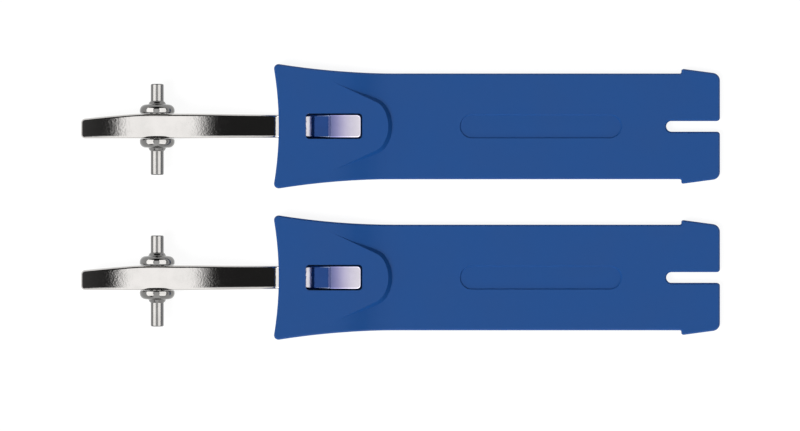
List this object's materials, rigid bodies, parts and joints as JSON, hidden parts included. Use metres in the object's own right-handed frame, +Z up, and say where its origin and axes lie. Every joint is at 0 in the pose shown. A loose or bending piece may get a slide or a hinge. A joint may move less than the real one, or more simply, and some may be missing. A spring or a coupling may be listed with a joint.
{
  "type": "boot buckle straps",
  "caption": "Pair of moulded plastic boot buckle straps, each with an arched steel lever that carries a T cross pin with collars.",
  "frame": {"origin": "on the surface the straps lie on, midway between the two straps and midway along them", "axes": "+X along the straps from the lever tips to the free ends, +Y across them, +Z up from the surface"},
  "size_m": [0.213, 0.0918, 0.0116],
  "materials": {
    "strap": "satin moulded blue plastic",
    "lever": "polished, lightly rippled chrome plate",
    "pin": "polished turned steel, plated",
    "collar": "polished turned steel, plated"
  },
  "bodies": {
    "strap_1": {"strap_1": "strap"},
    "lever_1": {"lever_1": "lever"},
    "cross_pin_1": {"cross_pin_1": "pin", "collar_left_1": "collar", "collar_right_1": "collar"},
    "strap_2": {"strap_2": "strap"},
    "lever_2": {"lever_2": "lever"},
    "cross_pin_2": {"cross_pin_2": "pin", "collar_left_2": "collar", "collar_right_2": "collar"}
  },
  "joints": [
    {"name": "lever_rock_1", "type": "hinge", "parent": "strap_1", "child": "lever_1", "pos_m": [-0.036, 0.0252, 0.00185], "axis": [0, 1, 0], "range_deg": [-3, 3]},
    {"name": "pin_spin_1", "type": "hinge", "parent": "lever_1", "child": "cross_pin_1", "pos_m": [-0.0809, 0.0252, 0.0058], "axis": [0, 1, 0], "continuous": true},
    {"name": "lever_rock_2", "type": "hinge", "parent": "strap_2", "child": "lever_2", "pos_m": [-0.036, -0.0252, 0.00185], "axis": [0, 1, 0], "range_deg": [-3, 3]},
    {"name": "pin_spin_2", "type": "hinge", "parent": "lever_2", "child": "cross_pin_2", "pos_m": [-0.0809, -0.0252, 0.0058], "axis": [0, 1, 0], "continuous": true},
    {"name": "second_strap_slide", "type": "slide", "parent": "strap_1", "child": "strap_2", "axis": [0, -1, 0], "range_m": [0, 0.06]}
  ]
}
